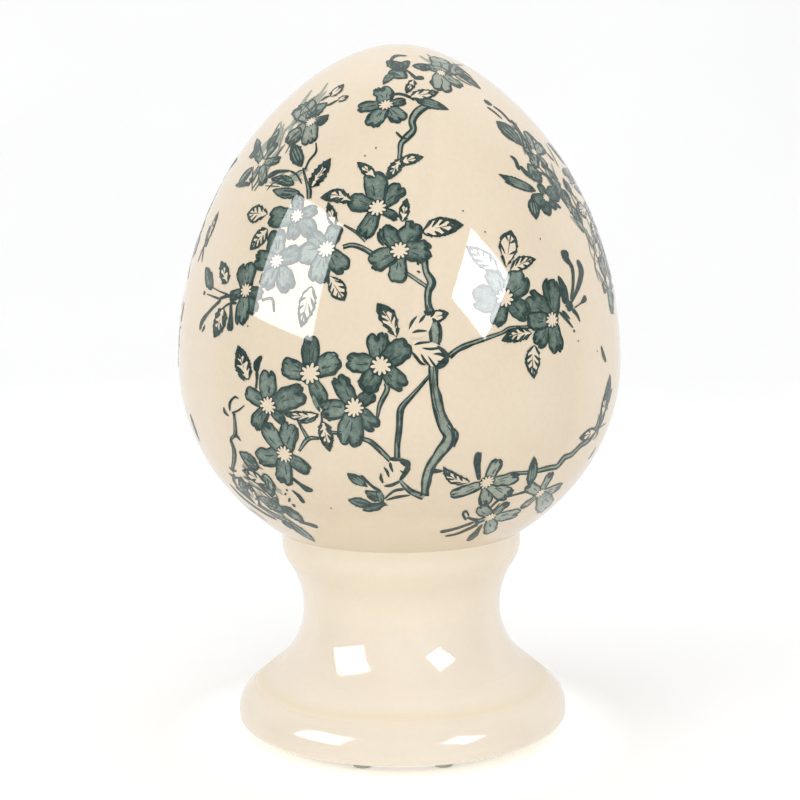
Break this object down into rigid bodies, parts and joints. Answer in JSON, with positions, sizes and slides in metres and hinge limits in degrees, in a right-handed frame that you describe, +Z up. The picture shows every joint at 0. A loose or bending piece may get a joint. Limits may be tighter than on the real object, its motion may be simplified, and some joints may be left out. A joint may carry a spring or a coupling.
{
  "type": "decorative egg on stand",
  "caption": "Hollow glazed ceramic egg with a printed blossom-branch pattern, fixed on a waisted hollow foot that stands on small anti-slip pads; a free-standing ornament.",
  "frame": {"origin": "centre of the foot on the surface it stands on", "axes": "+Z up along the egg's axis; the side in the picture faces -Y, so +X is to the picture's right"},
  "size_m": [0.1442, 0.1442, 0.2257],
  "materials": {
    "glazed_egg": "glossy clear glaze over cream body, dark green blossom print",
    "glazed_stand": "glossy clear glaze over cream body",
    "glazed_joint": "glossy, glazed over with the egg and the foot",
    "pad": "matt grey"
  },
  "bodies": {
    "root": {"egg_shell": "glazed_egg", "pedestal_stand": "glazed_stand", "slip_joint": "glazed_joint", "pad_front_left": "pad", "pad_front_right": "pad", "pad_rear_left": "pad", "pad_rear_right": "pad"}
  },
  "joints": []
}
